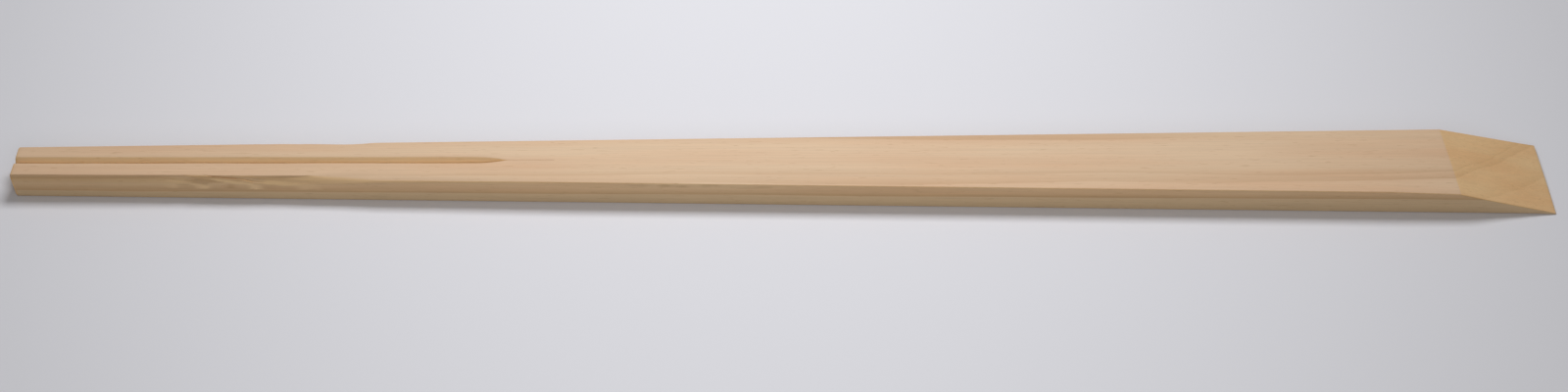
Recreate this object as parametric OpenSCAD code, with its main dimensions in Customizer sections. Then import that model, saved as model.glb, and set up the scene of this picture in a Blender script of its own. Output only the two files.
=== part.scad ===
// Pair of disposable chopsticks, still joined, as one piece of straight-grained wood.
// The pair lies flat on its underside: the tips point to -X, the slanted heads to +X.
// The origin is in the middle of the underside. Sizes are in millimetres.

/* [Blank] */
// Length of the pair, from the tips to the thin edge of the heads
pair_length = 240; // [180:1:300]
// Width across both heads
head_width = 14.4; // [11:0.1:20]
// Width across both tips
tip_width = 6.3; // [5:0.1:9]
// Thickness of the wood
thickness = 4.6; // [3.5:0.1:7]

/* [Slanted heads] */
// Length of the slanted cut, measured along the pair
slant_length = 15.7; // [5:0.1:30]
// Thickness left at the edge where the slanted cut ends
edge_thickness = 0.6; // [0.2:0.1:2]

/* [Split] */
// Length of the slit that starts the split, from the tips
slit_length = 84; // [40:1:140]
// Width of the slit
slit_width = 0.1; // [0.05:0.05:0.4]

/* [Groove between the tips] */
// Length of the V groove at full depth, from the tips
groove_length = 71.5; // [30:0.5:110]
// Depth of the V groove
groove_depth = 0.7; // [0.3:0.05:1.2]
// Angle between the walls of the V groove
groove_angle = 90; // [60:1:120]
// How far the groove and slit sit off the middle, towards the back
groove_offset = 0.25; // [0:0.05:0.5]

/* [Chamfers along the tips] */
// Length of the chamfers at full depth, from the tips
chamfer_length = 50; // [20:0.5:100]
// Distance between the two chamfers, across the top face
chamfer_gap = 6.7; // [5:0.1:8]
// Slope of the chamfers below the top face
chamfer_angle = 68; // [40:1:75]
// How far the pair of chamfers sits off the middle, towards the back
chamfer_offset = 0.4; // [0:0.05:1]

/* [Cutters] */
// Radius of the cutters, which the ends of the groove and chamfers keep as they run out
cutter_radius = 28; // [12:1:60]

/* [Hidden] */
$fn = 180;
wood_colour = [0.84, 0.72, 0.59];
// Amount by which a cutter overshoots the wood
overshoot = 1;
tip_x = -pair_length / 2;
head_x = pair_length / 2;
front = -1;
back = 1;

// Tapered outline of the pair, seen from above
module plan_outline() {
    polygon([
        [tip_x, -tip_width / 2],
        [head_x, -head_width / 2],
        [head_x, head_width / 2],
        [tip_x, tip_width / 2]
    ]);
}

// Side outline with the slanted cut through the heads, open past the ends and the underside
module side_outline() {
    polygon([
        [tip_x - overshoot, -overshoot],
        [head_x + overshoot, -overshoot],
        [head_x + overshoot, edge_thickness],
        [head_x, edge_thickness],
        [head_x - slant_length, thickness],
        [tip_x - overshoot, thickness]
    ]);
}

// Board sawn to the taper, with its heads cut on the slant
module blank() {
    intersection() {
        linear_extrude(height = thickness + overshoot)
            plan_outline();
        rotate([90, 0, 0])
            linear_extrude(height = head_width + 2 * overshoot, center = true)
                side_outline();
    }
}

// One pass of a cutter over the wood: straight in from the tips, then out along the cutter's own arc.
// It cuts everything above the XY plane, so it is tilted to the slope of the cut.
module cutter_pass(length) {
    translate([tip_x + length, 0, 0])
        rotate([90, 0, 0])
            linear_extrude(height = 2 * head_width, center = true) {
                translate([-length - overshoot, 0])
                    square([length + overshoot, cutter_radius]);
                translate([0, cutter_radius])
                    circle(r = cutter_radius);
            }
}

// V groove between the tips: the part that two sloped passes have in common
module groove_cutter() {
    wall_slope = 90 - groove_angle / 2;
    translate([0, groove_offset, thickness - groove_depth])
        intersection() {
            rotate([wall_slope, 0, 0])
                cutter_pass(groove_length);
            rotate([-wall_slope, 0, 0])
                cutter_pass(groove_length);
        }
}

// Chamfer along one outer edge of the tips
module chamfer_cutter(side) {
    top_line = chamfer_gap / 2 + side * chamfer_offset;
    mirror([0, side == front ? 1 : 0, 0])
        translate([0, top_line, thickness])
            rotate([-chamfer_angle, 0, 0])
                cutter_pass(chamfer_length);
}

// Thin cut through the wood between the two sticks
module slit_cutter() {
    translate([tip_x - overshoot, groove_offset - slit_width / 2, -overshoot])
        cube([slit_length + overshoot, slit_width, thickness + 2 * overshoot]);
}

module chopstick_pair() {
    color(wood_colour)
        difference() {
            blank();
            groove_cutter();
            chamfer_cutter(front);
            chamfer_cutter(back);
            slit_cutter();
        }
}

chopstick_pair();
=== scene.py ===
import math

import bmesh
import bpy
from mathutils import Matrix, Vector, noise


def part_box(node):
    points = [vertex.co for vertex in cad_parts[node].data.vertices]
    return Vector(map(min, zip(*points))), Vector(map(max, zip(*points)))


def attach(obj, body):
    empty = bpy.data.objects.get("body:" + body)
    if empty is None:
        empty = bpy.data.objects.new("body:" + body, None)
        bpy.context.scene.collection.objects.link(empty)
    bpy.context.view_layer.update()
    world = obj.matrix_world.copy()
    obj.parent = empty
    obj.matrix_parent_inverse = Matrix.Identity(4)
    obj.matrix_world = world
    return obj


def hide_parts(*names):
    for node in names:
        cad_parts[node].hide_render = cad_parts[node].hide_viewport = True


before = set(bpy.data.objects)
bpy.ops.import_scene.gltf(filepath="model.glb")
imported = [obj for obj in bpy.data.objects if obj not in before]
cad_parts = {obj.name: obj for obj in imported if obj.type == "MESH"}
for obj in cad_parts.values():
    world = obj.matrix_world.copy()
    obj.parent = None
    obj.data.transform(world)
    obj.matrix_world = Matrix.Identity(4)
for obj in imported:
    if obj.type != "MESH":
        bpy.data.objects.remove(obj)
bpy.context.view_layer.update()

# Sizes are in millimetres in the frame's own axes: tips at -X, slanted heads at +X, +Z up.
# MM turns them into Blender's metres.
MM = 0.001
NODE = "chopstick_pair"
PIECE = "chopstick_pair_wood"
FRONT = -1
BACK = 1

# The blank
LOW, HIGH = (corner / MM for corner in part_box(NODE))
TIP_X = LOW.x
HEAD_X = HIGH.x
HEAD_WIDTH = HIGH.y - LOW.y
THICKNESS = HIGH.z
TIP_WIDTH = 6.3

# The slanted cut through the heads, which is a little off square and starts a little before the solid's
SLANT_LENGTH = 16.0
EDGE_THICKNESS = 0.65
SLANT_SKEW = math.tan(math.radians(2.2))
CREASE_X = HEAD_X - SLANT_LENGTH
# The heads are lower towards their front edge: how far, and the places between which this sets in
HEAD_FALL = 0.5
FALL_START = HEAD_X - 26
FALL_FULL = HEAD_X - 12

# The cuts along the tips, as in the solid, with the slit nearly closed
SLIT_END = TIP_X + 84
SLIT_WIDTH = 0.05
GROOVE_END = TIP_X + 71.5
GROOVE_DEPTH = 0.7
GROOVE_SLOPE = math.radians(45)
GROOVE_OFFSET = 0.25
CHAMFER_END = TIP_X + 50
CHAMFER_GAP = 6.7
CHAMFER_SLOPE = math.radians(68)
CHAMFER_OFFSET = 0.4
CUTTER_RADIUS = 28

# Softness that planing and handling leave on the edges, as radii
EDGE_ROUND = 0.2
LOWER_ROUND = 0.28
TIP_ROUND = 0.35
THIN_EDGE_ROUND = 0.1
CREASE_ROUND = 0.1
SLANT_CREASE_ROUND = 0.03
# Wood thinner than this has its edges rounded in proportion
FULL_ROUND_THICKNESS = 1.0

# Front chamfer: its line leans outwards, and a steep lip leads down to a gentler, bulging slope
CHAMFER_LEAN = 0.3
FRONT_SLOPE = math.radians(60)
FRONT_BULGE = 0.38
LIP_WIDTH = 0.04
LIP_DEPTH = 0.55
LIP_LOSS = 0.25
LIP_END = TIP_X + 47
LIP_FADE = 5

# Its run-out is gentler and soft, and a worn bevel follows it along the edge
RUN_OUT_SLOPE = math.radians(50)
RUN_OUT_EASE = 10
RUN_OUT_BLEND = 0.5
RUN_OUT_ROUND = 1.1
ROUND_START = TIP_X + 46
ROUND_FULL = TIP_X + 54
WORN_WIDTH = 0.5
WORN_END = TIP_X + 88

# Unsteady cutting: how far a cut wanders, and over what length
CHAMFER_WANDER = 0.1
GROOVE_WANDER = 0.07
WANDER_LENGTH = 11
CHAMFER_SEED = 5.1
GROOVE_SEED = 1.3

# Marks in the wood, as length, width and seed, in stretches, as middle and half the length.
# How abruptly a stretch begins and ends, and how soon the noise that makes a mark takes it to full strength:
STRETCH_POWER = 4
MARK_EDGE = 0.2
# Fibres torn out of the front chamfer, where the cutter met rising grain
TORN_STRETCH = (TIP_X + 32, 8)
TORN_MARKS = (5, 0.4, 10.8)
TORN_EDGE = 0.12
TORN_DEPTH = 0.4
# Painted shade where torn and crushed fibres would lie in shade: a dark line on the lip along the front
# chamfer's edge, dark streaks in the torn stretch and dark dashes high on the front wall
PAINTED_LINE_SHADE = 0.7
LINE_REACH = 0.18
STREAK_MARKS = (4, 0.16, 6.2)
DASH_STRETCH = (TIP_X + 108, 11)
DASH_MARKS = (2.7, 0.8, 3.7)
DASH_HEIGHT = THICKNESS - 0.45
DASH_REACH = 0.4
# Painted highlights where raised fibres would catch the light, running down the front chamfer's slope
# towards the heads
RAISED_STRETCH = (TIP_X + 36, 11)
RAISED_MARKS = (9, 0.16, 8.9)
RAISED_TILT = 0.05
# The mesh hands the material its painted shade and painted highlights under this name
PAINTED_LIGHT_NAME = "torn"

# Mesh spacing, with two stations close to the slanted cut's crease so that it stays crisp
STATION_STEP = 0.5
CREASE_STEP = 0.1
ROUND_STEPS = 4
FACE_COLUMNS = 12
LIP_COLUMNS = 4
CHAMFER_COLUMNS = 12
GROOVE_COLUMNS = 6
WALL_ROWS = 16
BOTTOM_COLUMNS = 10
# Edges that turn by more than this are not shaded smooth
SHARP_ANGLE = math.radians(50)

# Growth rings: layers that fall by RING_DIP for each millimetre towards the back, each as its height over
# the top face at the middle of the pair and its rise for each millimetre towards the heads
RING_DIP = 0.37
HIGH_RING = (1.94, -0.0034)
MIDDLE_RING = (-1.77, 0.0025)
LOW_RING = (-4.14, 0.0013)
RING_WANDER = 0.22
# Darkness of the wood, counted in rings from the middle one: each ring is sharp below and fades upwards
RING_SHADES = [
    (-2, 0), (-1.03, 0), (-1, 1), (-0.95, 0.95), (-0.88, 0.75), (-0.78, 0.45), (-0.66, 0.2), (-0.4, 0.03),
    (-0.03, 0), (0, 0.6), (0.04, 0.5), (0.11, 0.33), (0.16, 0.2), (0.175, 0.75), (0.205, 0.45), (0.3, 0.15),
    (0.6, 0.03), (0.965, 0), (1, 0.8), (1.1, 0.6), (1.3, 0.3), (2, 0.1),
]
RING_SPAN = 2
# Counted the same way: where the wood starts to belong to each ring, and where it fully does
LOW_RING_START = (-1.03, -1)
MIDDLE_RING_START = (-0.1, -0.04)
HIGH_RING_START = (0.9, 0.96)
# The high ring fades out towards the heads and the middle one towards the tips, between these places
HIGH_FADE = (45, 85)
MIDDLE_FADE = (-50, -90)
# The low ring is broader near the tips: its darkness, the rings over which it fades upwards, and the places
# between which it ends
BROAD_RING = 0.65
BROAD_FADE = (-0.75, -0.3)
BROAD_END = (-70, -45)
# How much of the rings shows on the cut ends, low down and high up, and the rings between which this changes
END_LOW_RINGS = 0.3
END_HIGH_RINGS = 0.7
END_CHANGE = (-0.1, 0)
# How much of a ring shows where it is faintest
FAINTEST_RING = 0.7

# Wood colours, in display values. Early wood lies below the low ring.
DISPLAY_WHITE = 255
PALE_WOOD = (220, 190, 157)
ROSY_WOOD = (217, 180, 145)
EARLY_WOOD = (213, 185, 154)
LATE_WOOD = (192, 155, 117)
# Flecks and the painted shade by torn fibres share this colour
FLECK_AND_SHADE_WOOD = (176, 138, 100)
# Painted highlight where raised fibres would catch the light
RAISED_HIGHLIGHT = (240, 208, 168)
# How much of these colours the rings, flecks, painted shade and painted highlights take on
LATE_WOOD_SHARE = 0.85
FLECK_SHARE = 0.35
PAINTED_SHADE_SHARE = 0.45
RAISED_HIGHLIGHT_SHARE = 0.75
# Tints by which way the wood was cut, where white changes nothing
# The cut ends' tint is above white: golden end grain, plus painted light that brightens the cut ends
END_GOLD_AND_LIGHT = (268, 260, 234)
CUT_TINT = (255, 250, 230)
SIDE_TINT = (250, 248, 234)
# How far a surface has to face lengthways to be a cut end, or sideways to be a sloped cut or a side
END_FACING = (0.1, 0.22)
CUT_FACING = (0.3, 0.6)
SIDE_FACING = (0.9, 0.98)

# Grain, as length along the fibres, width across them and noise detail
BAND_GRAIN = (38, 0.7, 2)
FIBRE_GRAIN = (20, 0.22, 3)
FINE_GRAIN = (5, 0.06, 2)
FLECK_GRAIN = (2.2, 0.16, 1)
HUE_GRAIN = (50, 4, 2)
RING_GRAIN = (45, 4, 2)
RING_FADE_GRAIN = (60, 3, 1)
# How far the fibres of each width lighten and darken the wood
BAND_TONE = 0.025
FIBRE_TONE = 0.045
FINE_TONE = 0.035
# The noise values between which flecks, the rosy hue and full rings set in
FLECK_RANGE = (0.66, 0.74)
HUE_RANGE = (0.35, 0.65)
RING_FADE_RANGE = (0.3, 0.7)
# Most of a noise lies between these values
NOISE_RANGE = (0.25, 0.75)

# Surface of the wood: its relief, the share of the wider fibres in that, and its sheen
RELIEF_DEPTH = 0.05
RELIEF_STRENGTH = 0.35
FIBRE_RELIEF = 0.6
SMOOTH_ROUGHNESS = 0.55
FURRY_ROUGHNESS = 0.72
WOOD_SPECULAR = 0.35

# Floor and light, with places in metres
FLOOR_SIZE = 8.0
FLOOR_COLOUR = (228, 227, 231)
FLOOR_ROUGHNESS = 0.85
FLOOR_SPECULAR = 0.1
# The two lamps light the floor about as one lamp would at this height over the middle of the lit floor.
# Outside the photograph's view the floor glows by what it lacks of an even pale level, and the sky behind
# it is as pale.
LIT_MIDDLE = (0.0, 0.03, 0.0)
LIT_HEIGHT = 0.25
LIT_LEVEL = 0.62
EVEN_LEVEL = 0.38
GLOW_COLOUR = (255, 255, 255)
BACKDROP_COLOUR = (197, 197, 200)
LAMP_PLACE = Vector((-0.006, 0.096, 0.209))
LAMP_AIM = Vector((-0.006, 0.0, 0.0))
LAMP_SIZE = (0.13, 0.075)
LAMP_WATTS = 0.4
LAMP_COLOUR = (250, 252, 255)
FILL_PLACE = Vector((-0.006, -0.155, 0.135))
FILL_SIZE = (0.14, 0.1)
FILL_WATTS = 0.088
SKY_COLOUR = (255, 253, 250)
SKY_STRENGTH = 0.2

# Camera: the photograph's view
VIEW_AIM = Vector((-0.2, -3.2, 0.0)) * MM
VIEW_DISTANCE = 330.0 * MM
VIEW_AZIMUTH = math.radians(0.74)
VIEW_ELEVATION = math.radians(47.36)
VIEW_ROLL = math.radians(0.505)
NEAREST_VIEW = 10 * MM
SENSOR = 36.0
LENS = 48.4

# The sRGB curve: the end and the slope of its straight start, then the offset and the power of the rest
CURVE_START = 0.04045
CURVE_SLOPE = 12.92
CURVE_OFFSET = 0.055
CURVE_POWER = 2.4
# A mix node has sockets of the same names for each kind of value. These are its factor and colours.
MIX_INPUTS = (0, 6, 7)
MIX_OUTPUT = 2


# Form of the pair
def clamp(value):
    """A value held between 0 and 1."""
    return min(max(value, 0), 1)


def near(distance, reach):
    """How near a place is: 1 up to half of reach, then less and less, and 0 from reach on."""
    return clamp(2 - 2 * abs(distance) / reach)


def half_width(x):
    """Half the width of the pair at x."""
    return (TIP_WIDTH + (HEAD_WIDTH - TIP_WIDTH) * (x - TIP_X) / (HEAD_X - TIP_X)) / 2


def lift(x, end):
    """How far a cutter has risen at x, along its own arc, after its straight pass came to an end."""
    past = min(max(x - end, 0), CUTTER_RADIUS)
    return CUTTER_RADIUS - math.sqrt(CUTTER_RADIUS ** 2 - past ** 2)


def soft_min(first, second, width):
    """The lower of two heights, with the crease between them rounded over."""
    overlap = max(width - abs(first - second), 0)
    return min(first, second) - overlap * overlap / (4 * width)


def streak(x, across, along_size, across_size, seed):
    """Noise from -1 to 1 that is drawn out along the grain."""
    return noise.noise(Vector((x / along_size, across / across_size, seed)))


def marks(x, across, along_size, across_size, seed):
    """Marks drawn out along the grain, from 0 between them to 1 within them."""
    return clamp(streak(x, across, along_size, across_size, seed) / MARK_EDGE)


def stretch(x, middle, half_length):
    """How far x lies within a stretch of the pair, from 0 to 1."""
    return math.exp(-(((x - middle) / half_length) ** STRETCH_POWER))


def torn_zone(x):
    """How far x lies within the torn stretch, from 0 to 1."""
    return stretch(x, *TORN_STRETCH)


def wander(x, amount, seed):
    """How far an unsteady cut strays at x."""
    return amount * streak(x, 0, WANDER_LENGTH, 1, seed)


def chamfer_start(x, side):
    """Distance from the middle to a chamfer's upper edge, as the cutter's straight pass leaves it."""
    line = CHAMFER_GAP / 2 + side * CHAMFER_OFFSET + wander(x, CHAMFER_WANDER, CHAMFER_SEED + side)
    if side == BACK:
        return line
    from_middle = min((x - TIP_X) / (CHAMFER_END - TIP_X), 1) - 0.5
    return line + CHAMFER_LEAN * from_middle


def chamfer_edge(x, side):
    """Distance from the middle to a chamfer's upper edge, with its run-out."""
    start = chamfer_start(x, side)
    run_out = lift(x, CHAMFER_END) / math.sin(CHAMFER_SLOPE)
    if side == BACK:
        return start + run_out
    worn = WORN_WIDTH * clamp((WORN_END - x) / (WORN_END - CHAMFER_END))
    return start + max(soft_min(run_out, half_width(x) - start - worn, RUN_OUT_BLEND), 0)


def torn_fibres(x, outward):
    """Depth of the torn fibres, at a distance outwards from the front chamfer's upper edge."""
    return TORN_DEPTH * torn_zone(x) * clamp(outward / TORN_EDGE) * marks(x, outward, *TORN_MARKS)


def lip_share(x):
    """How much of the lip is left at x: none in the torn stretch, nor past its own end."""
    return clamp((LIP_END - x) / LIP_FADE) * (1 - torn_zone(x))


def lip(x, outward):
    """Depth of the lip under the front chamfer's upper edge."""
    depth = LIP_DEPTH - LIP_LOSS * clamp((x - TIP_X) / (LIP_END - TIP_X))
    return depth * lip_share(x) * clamp(outward / LIP_WIDTH)


def chamfer_height(x, y, side):
    """Height of a chamfer's surface."""
    edge = chamfer_edge(x, side)
    outward = side * y - edge
    if side == BACK:
        return THICKNESS - outward * math.tan(CHAMFER_SLOPE)
    eased = clamp((x - CHAMFER_END) / RUN_OUT_EASE + 1)
    slope = FRONT_SLOPE + (RUN_OUT_SLOPE - FRONT_SLOPE) * eased
    width = max(half_width(x) - edge, LIP_WIDTH)
    bulging = outward + FRONT_BULGE * (max(outward, 0) ** 2 / width - outward)
    return THICKNESS - bulging * math.tan(slope) - lip(x, outward) - torn_fibres(x, outward)


def chamfer_round(x):
    """Softness of the chamfers' upper edges, which is greatest at their run-out."""
    growth = clamp((x - ROUND_START) / (ROUND_FULL - ROUND_START))
    loss = clamp((WORN_END - x) / (WORN_END - ROUND_FULL))
    return CREASE_ROUND + (RUN_OUT_ROUND - CREASE_ROUND) * min(growth, loss)


def groove_height(x, y):
    """Height of the groove's walls."""
    rise = lift(x, GROOVE_END) / math.cos(GROOVE_SLOPE) + wander(x, GROOVE_WANDER, GROOVE_SEED)
    return THICKNESS - GROOVE_DEPTH + abs(y - GROOVE_OFFSET) * math.tan(GROOVE_SLOPE) + rise


def slant_height(x, y):
    """Height of the slanted cut through the heads."""
    past_crease = x - CREASE_X + SLANT_SKEW * y
    return THICKNESS - past_crease * (THICKNESS - EDGE_THICKNESS) / SLANT_LENGTH


def head_fall(x, y):
    """How much lower the heads are towards their front edge, by the square of the way from the back."""
    from_back = clamp((half_width(x) - y) / (2 * half_width(x)))
    return HEAD_FALL * clamp((x - FALL_START) / (FALL_FULL - FALL_START)) * from_back ** 2


def top_height(x, y):
    """Height of the upper surface, with every cut."""
    height = soft_min(THICKNESS, slant_height(x, y), SLANT_CREASE_ROUND) - head_fall(x, y)
    for side in (FRONT, BACK):
        height = soft_min(height, chamfer_height(x, y, side), chamfer_round(x))
    return soft_min(height, groove_height(x, y), CREASE_ROUND)


# Painted shade and painted highlights of torn and raised fibres
def lip_painted_shade(x, outward):
    """Darkness of the painted shade on the lip along the front chamfer's edge, from 0 to 1."""
    return PAINTED_LINE_SHADE * near(outward, LINE_REACH) * lip_share(x)


def streak_painted_shade(x, outward):
    """Darkness of the streaks of painted shade in the torn stretch, from 0 to 1."""
    return torn_zone(x) * marks(x, outward, *STREAK_MARKS) * clamp(outward / TORN_EDGE)


def dash_painted_shade(x, y, z):
    """Darkness of the dashes of painted shade high on the front wall, from 0 to 1."""
    on_wall = clamp(1 - (half_width(x) + y) / EDGE_ROUND) * near(z - DASH_HEIGHT, DASH_REACH)
    return on_wall * marks(x, z, *DASH_MARKS) * stretch(x, *DASH_STRETCH)


def raised_painted_highlight(x, outward):
    """Brightness of the painted highlights on raised fibres, from 0 to 1."""
    fibre = marks(x, outward - RAISED_TILT * x, *RAISED_MARKS)
    return fibre * stretch(x, *RAISED_STRETCH) * clamp(outward / TORN_EDGE)


def painted_shade_and_highlight(x, y, z):
    """How much painted shade darkens the wood by torn fibres, up to 1, or painted highlights lighten it,
    down to -1.
    """
    if z < THICKNESS / 2:
        return 0
    outward = FRONT * y - chamfer_edge(x, FRONT)
    dark = max(lip_painted_shade(x, outward), streak_painted_shade(x, outward), dash_painted_shade(x, y, z))
    return dark - raised_painted_highlight(x, outward)


# Mesh of the pair
def round_over(distance, radius):
    """How far a rounded edge falls back at a distance in from its wall."""
    if distance >= radius:
        return 0
    return radius - math.sqrt(radius ** 2 - (radius - distance) ** 2)


def round_steps(radius):
    """Distances from a wall that trace its rounded edge evenly."""
    return [radius * (1 - math.cos(math.pi / 2 * i / ROUND_STEPS)) for i in range(ROUND_STEPS)]


def spread(start, end, steps):
    """Evenly spaced values from start up to but without end."""
    return [start + (end - start) * i / steps for i in range(steps)]


def stations():
    """Places along the pair at which its section is drawn."""
    start = TIP_X + TIP_ROUND
    end = HEAD_X - THIN_EDGE_ROUND
    inner = spread(start, end, round((end - start) / STATION_STEP)) + [end]
    for fixed in (CREASE_X, SLIT_END):
        inner = [x for x in inner if abs(x - fixed) > STATION_STEP / 2] + [fixed]
    inner += [CREASE_X - CREASE_STEP, CREASE_X + CREASE_STEP]
    tips = [TIP_X + distance for distance in round_steps(TIP_ROUND)]
    heads = [HEAD_X - distance for distance in round_steps(THIN_EDGE_ROUND)]
    return sorted(tips + inner + heads)


def end_inset(x):
    """How far the section draws in where an end is rounded."""
    return round_over(x - TIP_X, TIP_ROUND) + round_over(HEAD_X - x, THIN_EDGE_ROUND)


def skewed(x, y):
    """Place along the pair of a station's point at y, so that the station at the crease follows its skew."""
    return x - SLANT_SKEW * y * max(1 - abs(x - CREASE_X) / SLANT_LENGTH, 0)


def station_height(x, y):
    """Height of the upper surface at a station's point at y."""
    return top_height(skewed(x, y), y)


def upper_columns(x, side, wall, slit, radius):
    """Distances from the middle across one stick's upper surface, from its wall to the slit."""
    inner = wall - radius
    # The slope below the lip stays at least as wide as the lip
    chamfer = min(chamfer_edge(x, side), inner - 2 * LIP_WIDTH)
    groove_half = (GROOVE_DEPTH - lift(x, GROOVE_END) / math.cos(GROOVE_SLOPE)) / math.tan(GROOVE_SLOPE)
    groove = max(side * GROOVE_OFFSET + groove_half, slit + EDGE_ROUND)
    edge = [wall - distance for distance in round_steps(radius)]
    slope = spread(inner, chamfer + LIP_WIDTH, CHAMFER_COLUMNS)
    step = spread(chamfer + LIP_WIDTH, chamfer, LIP_COLUMNS)
    face = spread(chamfer, groove, FACE_COLUMNS)
    return edge + slope + step + face + spread(groove, slit, GROOVE_COLUMNS) + [slit]


def stick_section(x, side):
    """One stick's section at x, as points: underside, outer wall, then upper surface."""
    inset = end_inset(x)
    wall = half_width(x) - inset
    slit = side * GROOVE_OFFSET + SLIT_WIDTH / 2
    rounding = min(station_height(x, side * wall) / FULL_ROUND_THICKNESS, 1)
    lower_round = LOWER_ROUND * rounding
    upper_round = EDGE_ROUND * rounding
    lower = [wall - distance for distance in round_steps(lower_round)]
    lower += spread(wall - lower_round, slit, BOTTOM_COLUMNS) + [slit]
    under = [(side * out, inset + round_over(wall - out, lower_round)) for out in lower]
    upper = [
        (side * out, station_height(x, side * out) - inset - round_over(wall - out, upper_round))
        for out in upper_columns(x, side, wall, slit, upper_round)
    ]
    rows = spread(under[0][1], upper[0][1], WALL_ROWS)[1:]
    outline = under[::-1] + [(side * wall, z) for z in rows] + upper
    return [(skewed(x, y), y, z) for y, z in outline]


def strip(shape, here, there):
    """Faces between two rows of points."""
    for i in range(len(here) - 1):
        shape.faces.new((here[i], here[i + 1], there[i + 1], there[i]))


def cap(shape, outline):
    """Closes an end with triangles around its middle."""
    middle = shape.verts.new(sum((vertex.co for vertex in outline), Vector()) / len(outline))
    for here, there in zip(outline, outline[1:] + outline[:1]):
        shape.faces.new((here, there, middle))


def build_shape():
    """The pair as one closed shape: two sticks, parted by the slit near the tips and joined after it."""
    shape = bmesh.new()
    places = stations()
    sticks = {side: [] for side in (FRONT, BACK)}
    for x in places:
        for side, sections in sticks.items():
            sections.append([shape.verts.new(Vector(point) * MM) for point in stick_section(x, side)])
    front, back = sticks[FRONT], sticks[BACK]
    slit_end = places.index(SLIT_END)
    for i in range(len(places) - 1):
        for sections in sticks.values():
            here, there = sections[i], sections[i + 1]
            if i < slit_end:
                strip(shape, here + here[:1], there + there[:1])
            else:
                strip(shape, here, there)
        if i >= slit_end:
            for j in (0, -1):
                strip(shape, (front[i][j], back[i][j]), (front[i + 1][j], back[i + 1][j]))
    front_end, back_end = front[slit_end], back[slit_end]
    strip(shape, (front_end[0], back_end[0]), (front_end[-1], back_end[-1]))
    for outline in (front[0], back[0], front[-1] + back[-1][::-1]):
        cap(shape, outline)
    bmesh.ops.recalc_face_normals(shape, faces=shape.faces)
    return shape


def build_pair():
    """The pair as an object, with the painted shade and painted highlights of its torn and raised fibres."""
    mesh = bpy.data.meshes.new(PIECE)
    shape = build_shape()
    shape.to_mesh(mesh)
    shape.free()
    mesh.shade_smooth()
    mesh.set_sharp_from_angle(angle=SHARP_ANGLE)
    shade = mesh.attributes.new(PAINTED_LIGHT_NAME, "FLOAT", "POINT")
    shade.data.foreach_set("value", [painted_shade_and_highlight(*(vertex.co / MM)) for vertex in mesh.vertices])
    piece = bpy.data.objects.new(PIECE, mesh)
    bpy.context.scene.collection.objects.link(piece)
    return piece


# Materials
class Nodes:
    """Adds nodes to one material or world. Most calls give the socket that the new node makes."""

    def __init__(self, owner):
        self.tree = owner.node_tree
        self.shader = self.tree.nodes.get("Principled BSDF")

    def add(self, kind, values, **settings):
        """A new node with its settings, and with values or links for its inputs."""
        made = self.tree.nodes.new(kind)
        for key, value in settings.items():
            setattr(made, key, value)
        for key, value in values.items():
            self.feed(made.inputs[key], value)
        return made

    def feed(self, socket, value):
        """Links a socket to another one, or sets it to a value."""
        if isinstance(value, bpy.types.NodeSocket):
            self.tree.links.new(value, socket)
        else:
            socket.default_value = value

    def math(self, operation, *values):
        return self.add("ShaderNodeMath", dict(enumerate(values)), operation=operation).outputs[0]

    def split(self, vector):
        """The three parts of a vector."""
        return self.add("ShaderNodeSeparateXYZ", {"Vector": vector}).outputs

    def scaled(self, vector, factors):
        return self.add("ShaderNodeVectorMath", {0: vector, 1: factors}, operation="MULTIPLY").outputs[0]

    def grain(self, place, along, across, detail):
        """Noise from 0 to 1 with marks of a length along the grain and a width across it."""
        vector = self.scaled(place, (1 / along, 1 / across, 1 / across))
        made = self.add("ShaderNodeTexNoise", {"Vector": vector, "Scale": 1.0, "Detail": detail})
        return made.outputs["Fac"]

    def remap(self, value, low, high, to_low, to_high):
        """A value taken from one range to another and held within it."""
        values = {"Value": value, "From Min": low, "From Max": high, "To Min": to_low, "To Max": to_high}
        return self.add("ShaderNodeMapRange", values).outputs["Result"]

    def swing(self, value, low, high):
        """Noise stretched to run from low to high."""
        return self.remap(value, *NOISE_RANGE, low, high)

    def curve(self, value, stops):
        """A level that runs through stops, of which the first is at 0 and the last at 1."""
        made = self.add("ShaderNodeValToRGB", {"Fac": value})
        points = made.color_ramp.elements
        for place, _ in stops[1:-1]:
            points.new(place)
        for point, (place, level) in zip(points, stops):
            point.position = place
            point.color = (level, level, level, 1)
        return made.outputs["Color"]

    def mix(self, factor, first, second, blend="MIX"):
        """The first colour, blended with the second by a factor."""
        values = dict(zip(MIX_INPUTS, (factor, first, second)))
        made = self.add("ShaderNodeMix", values, data_type="RGBA", blend_type=blend)
        return made.outputs[MIX_OUTPUT]

    def tinted(self, share, colour, tint):
        """A colour that takes on a tint where share is 1."""
        return self.mix(share, colour, self.mix(1.0, colour, tint, "MULTIPLY"))

    def background_rays(self):
        """1 for the rays that show the background: straight from the camera, or by way of gloss or glass."""
        rays = self.add("ShaderNodeLightPath", {}).outputs
        direct = self.math("MAXIMUM", rays["Is Camera Ray"], rays["Is Glossy Ray"])
        return self.math("MAXIMUM", direct, rays["Is Transmission Ray"])


def new_material(name):
    material = bpy.data.materials.new(name)
    material.use_nodes = True
    return material


def linear_value(share):
    """A display value, as a share of white, taken through the sRGB curve."""
    if share <= CURVE_START:
        return share / CURVE_SLOPE
    return ((share + CURVE_OFFSET) / (1 + CURVE_OFFSET)) ** CURVE_POWER


def linear(colour):
    """A colour in display values, as the linear colour that shaders and lamps take."""
    return [linear_value(value / DISPLAY_WHITE) for value in colour]


def paint(colour):
    """A colour in display values, as the linear and opaque colour that a socket takes."""
    return (*linear(colour), 1)


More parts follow.
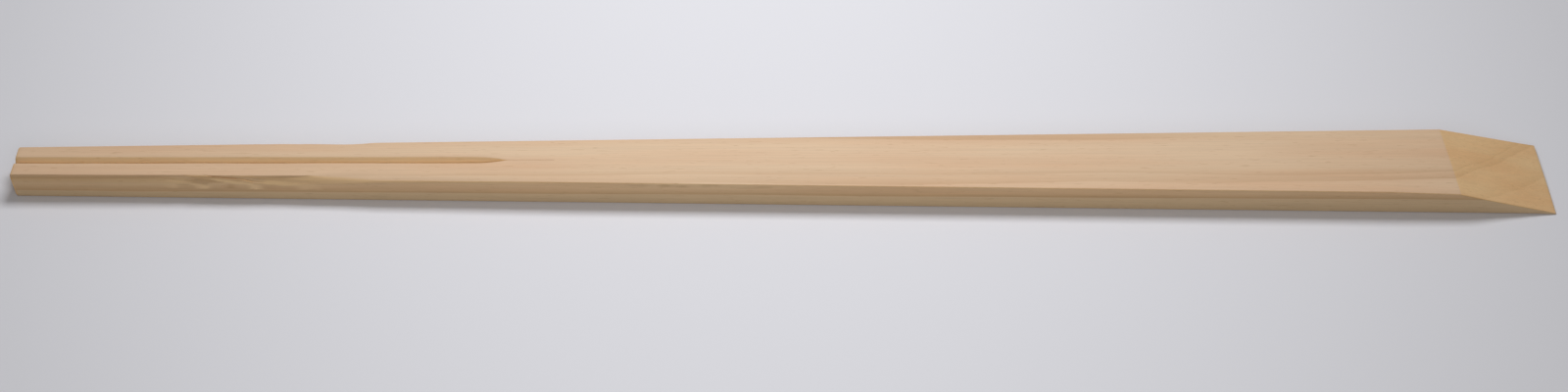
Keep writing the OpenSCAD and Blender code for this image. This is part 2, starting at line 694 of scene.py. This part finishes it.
def ring_count(nodes, place):
    """How many growth rings lie between a place and the middle ring, less than 0 below it."""
    x, y, z = nodes.split(place)
    high, middle, low = (
        nodes.math("MULTIPLY_ADD", x, rise, height)
        for height, rise in (HIGH_RING, MIDDLE_RING, LOW_RING)
    )
    stray = nodes.swing(nodes.grain(place, *RING_GRAIN), -RING_WANDER, RING_WANDER)
    level = nodes.math("MULTIPLY_ADD", y, RING_DIP, nodes.math("SUBTRACT", z, THICKNESS))
    over = nodes.math("SUBTRACT", nodes.math("ADD", level, stray), middle)
    above = nodes.math("DIVIDE", over, nodes.math("SUBTRACT", high, middle))
    below = nodes.math("DIVIDE", over, nodes.math("SUBTRACT", middle, low))
    return nodes.math("ADD", nodes.math("MAXIMUM", above, 0.0), nodes.math("MINIMUM", below, 0.0))


def late_wood(nodes, place, count, ends):
    """How dark the growth rings make the wood, from 0 to 1."""
    stops = [((ring + RING_SPAN) / (2 * RING_SPAN), shade) for ring, shade in RING_SHADES]
    dark = nodes.curve(nodes.remap(count, -RING_SPAN, RING_SPAN, 0, 1), stops)
    along = nodes.split(place)[0]

    # The broad low ring near the tips
    over_low = nodes.remap(count, *LOW_RING_START, 0, 1)
    broad = nodes.math("MULTIPLY", nodes.remap(count, *BROAD_FADE, 1, 0), over_low)
    broad = nodes.math("MULTIPLY", broad, nodes.remap(along, *BROAD_END, BROAD_RING, 0))
    dark = nodes.math("MAXIMUM", dark, broad)

    # Rings fade along the pair, in patches and on the cut ends
    at_high = nodes.remap(count, *HIGH_RING_START, 0, 1)
    at_middle = nodes.math("SUBTRACT", nodes.remap(count, *MIDDLE_RING_START, 0, 1), at_high)
    kept = nodes.math("MULTIPLY_ADD", at_high, nodes.remap(along, *HIGH_FADE, 0, -1), 1.0)
    kept = nodes.math("MULTIPLY_ADD", at_middle, nodes.remap(along, *MIDDLE_FADE, 0, -1), kept)
    patchy = nodes.remap(nodes.grain(place, *RING_FADE_GRAIN), *RING_FADE_RANGE, FAINTEST_RING, 1)
    end_loss = nodes.remap(count, *END_CHANGE, END_LOW_RINGS - 1, END_HIGH_RINGS - 1)
    on_ends = nodes.math("MULTIPLY_ADD", ends, end_loss, 1.0)
    shown = nodes.math("MULTIPLY", patchy, on_ends)
    return nodes.math("MULTIPLY", nodes.math("MULTIPLY", dark, kept), shown)


def wood_material():
    """Pale straight-grained softwood, planed and left bare."""
    material = new_material("pale_wood")
    nodes = Nodes(material)
    coords = nodes.add("ShaderNodeTexCoord", {}).outputs
    place = nodes.scaled(coords["Object"], (1 / MM,) * 3)
    facing = nodes.split(coords["Normal"])
    ends = nodes.remap(nodes.math("ABSOLUTE", facing[0]), *END_FACING, 0, 1)
    sideways = nodes.math("ABSOLUTE", facing[1])

    # Fibres at three widths, short flecks and slow changes of hue
    band = nodes.grain(place, *BAND_GRAIN)
    fibre = nodes.grain(place, *FIBRE_GRAIN)
    fine = nodes.grain(place, *FINE_GRAIN)
    fleck = nodes.remap(nodes.grain(place, *FLECK_GRAIN), *FLECK_RANGE, 0, FLECK_SHARE)
    hue = nodes.remap(nodes.grain(place, *HUE_GRAIN), *HUE_RANGE, 0, 1)

    # Growth rings over the pale wood
    count = ring_count(nodes, place)
    below_low = nodes.remap(count, *LOW_RING_START, 1, 0)
    early = nodes.math("MULTIPLY", below_low, nodes.math("SUBTRACT", 1.0, ends))
    late = nodes.math("MULTIPLY", late_wood(nodes, place, count, ends), LATE_WOOD_SHARE)
    colour = nodes.mix(hue, paint(PALE_WOOD), paint(ROSY_WOOD))
    colour = nodes.mix(early, colour, paint(EARLY_WOOD))
    colour = nodes.mix(late, colour, paint(LATE_WOOD))

    # Flecks over the rings, and the torn mark's painted shade above 0 and painted highlights below 0
    torn = nodes.add("ShaderNodeAttribute", {}, attribute_name=PAINTED_LIGHT_NAME).outputs["Fac"]
    darker = nodes.math("MAXIMUM", fleck, nodes.math("MULTIPLY", torn, PAINTED_SHADE_SHARE))
    colour = nodes.mix(darker, colour, paint(FLECK_AND_SHADE_WOOD))
    paler = nodes.math("MAXIMUM", nodes.math("MULTIPLY", torn, -RAISED_HIGHLIGHT_SHARE), 0.0)
    colour = nodes.mix(paler, colour, paint(RAISED_HIGHLIGHT))

    # The wood is lighter and darker with the fibres
    tone = nodes.swing(band, 1 - BAND_TONE, 1 + BAND_TONE)
    tone = nodes.math("ADD", tone, nodes.swing(fibre, -FIBRE_TONE, FIBRE_TONE))
    tone = nodes.math("ADD", tone, nodes.swing(fine, -FINE_TONE, FINE_TONE))
    grey = nodes.add("ShaderNodeCombineColor", {0: tone, 1: tone, 2: tone}).outputs[0]
    colour = nodes.mix(1.0, colour, grey, "MULTIPLY")

    # Cut ends of the fibres are golden, with painted light on top, and the sloped cuts and sides a little
    # warmer than the faces
    colour = nodes.tinted(ends, colour, paint(END_GOLD_AND_LIGHT))
    sides = nodes.remap(sideways, *SIDE_FACING, 0, 1)
    tint = nodes.mix(sides, paint(CUT_TINT), paint(SIDE_TINT))
    colour = nodes.tinted(nodes.remap(sideways, *CUT_FACING, 0, 1), colour, tint)

    relief = nodes.mix(FIBRE_RELIEF, fine, fibre)
    bump_values = {"Height": relief, "Strength": RELIEF_STRENGTH, "Distance": RELIEF_DEPTH * MM}
    bump = nodes.add("ShaderNodeBump", bump_values)
    nodes.feed(nodes.shader.inputs["Base Color"], colour)
    nodes.feed(nodes.shader.inputs["Roughness"], nodes.swing(fibre, SMOOTH_ROUGHNESS, FURRY_ROUGHNESS))
    nodes.feed(nodes.shader.inputs["Normal"], bump.outputs["Normal"])
    nodes.shader.inputs["Specular IOR Level"].default_value = WOOD_SPECULAR
    return material


def floor_material():
    """Pale floor, lit by the lamps near the pair and evenly pale further out."""
    material = new_material("pale_floor")
    nodes = Nodes(material)
    nodes.shader.inputs["Base Color"].default_value = paint(FLOOR_COLOUR)
    nodes.shader.inputs["Roughness"].default_value = FLOOR_ROUGHNESS
    nodes.shader.inputs["Specular IOR Level"].default_value = FLOOR_SPECULAR
    nodes.shader.inputs["Emission Color"].default_value = paint(GLOW_COLOUR)

    # A flat lamp lights the floor by the fourth power of its height over its distance
    place = nodes.add("ShaderNodeTexCoord", {}).outputs["Object"]
    to_middle = nodes.add("ShaderNodeVectorMath", {0: place, 1: LIT_MIDDLE}, operation="DISTANCE")
    apart = to_middle.outputs["Value"]
    from_lamp = nodes.math("MULTIPLY_ADD", apart, apart, LIT_HEIGHT ** 2)
    share = nodes.math("DIVIDE", LIT_HEIGHT ** 2, from_lamp)
    falloff = nodes.math("MULTIPLY", share, share)
    lacking = nodes.math("MAXIMUM", nodes.math("MULTIPLY_ADD", falloff, -LIT_LEVEL, EVEN_LEVEL), 0.0)
    glow = nodes.math("MULTIPLY", lacking, nodes.background_rays())
    nodes.feed(nodes.shader.inputs["Emission Strength"], glow)
    return material


# Floor, light and camera
def build_floor():
    """A wide level floor under the pair."""
    mesh = bpy.data.meshes.new("floor")
    half = FLOOR_SIZE / 2
    corners = [(-half, -half, 0), (half, -half, 0), (half, half, 0), (-half, half, 0)]
    mesh.from_pydata(corners, [], [(0, 1, 2, 3)])
    mesh.materials.append(floor_material())
    floor = bpy.data.objects.new("floor", mesh)
    bpy.context.scene.collection.objects.link(floor)


def add_lamp(name, place, size, watts):
    """A soft lamp that points at the pair."""
    lamp = bpy.data.lights.new(name, "AREA")
    lamp.shape = "RECTANGLE"
    lamp.size, lamp.size_y = size
    lamp.energy = watts
    lamp.color = linear(LAMP_COLOUR)
    holder = bpy.data.objects.new(name, lamp)
    holder.location = place
    holder.rotation_euler = (LAMP_AIM - place).to_track_quat("-Z", "Y").to_euler()
    holder.visible_camera = False
    bpy.context.scene.collection.objects.link(holder)


def build_lights():
    """A lamp above and behind, a weak one in front, and a pale sky with the backdrop's colour behind it."""
    add_lamp("key_lamp", LAMP_PLACE, LAMP_SIZE, LAMP_WATTS)
    add_lamp("fill_lamp", FILL_PLACE, FILL_SIZE, FILL_WATTS)
    world = bpy.data.worlds.new("sky")
    world.use_nodes = True
    nodes = Nodes(world)
    sky = nodes.tree.nodes["Background"].outputs[0]
    nodes.feed(sky.node.inputs["Color"], paint(SKY_COLOUR))
    nodes.feed(sky.node.inputs["Strength"], SKY_STRENGTH)
    backdrop = nodes.add("ShaderNodeBackground", {"Color": paint(BACKDROP_COLOUR)}).outputs[0]
    seen = nodes.add("ShaderNodeMixShader", {0: nodes.background_rays(), 1: sky, 2: backdrop}).outputs[0]
    nodes.feed(nodes.tree.nodes["World Output"].inputs["Surface"], seen)
    bpy.context.scene.world = world


def build_camera():
    """A camera with the photograph's view."""
    level = math.cos(VIEW_ELEVATION)
    forward = Vector((
        math.sin(VIEW_AZIMUTH) * level,
        math.cos(VIEW_AZIMUTH) * level,
        -math.sin(VIEW_ELEVATION),
    ))
    camera = bpy.data.cameras.new("camera")
    camera.sensor_width = SENSOR
    camera.lens = LENS
    camera.clip_start = NEAREST_VIEW
    holder = bpy.data.objects.new("camera", camera)
    turn = forward.to_track_quat("-Z", "Y").to_matrix() @ Matrix.Rotation(VIEW_ROLL, 3, "Z")
    holder.matrix_world = Matrix.Translation(VIEW_AIM - forward * VIEW_DISTANCE) @ turn.to_4x4()
    bpy.context.scene.collection.objects.link(holder)
    bpy.context.scene.camera = holder


build_camera()
build_lights()
build_floor()
pair = build_pair()
pair.data.materials.append(wood_material())
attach(pair, "root")
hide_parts(NODE)

bpy.context.scene.view_settings.view_transform = "Standard"
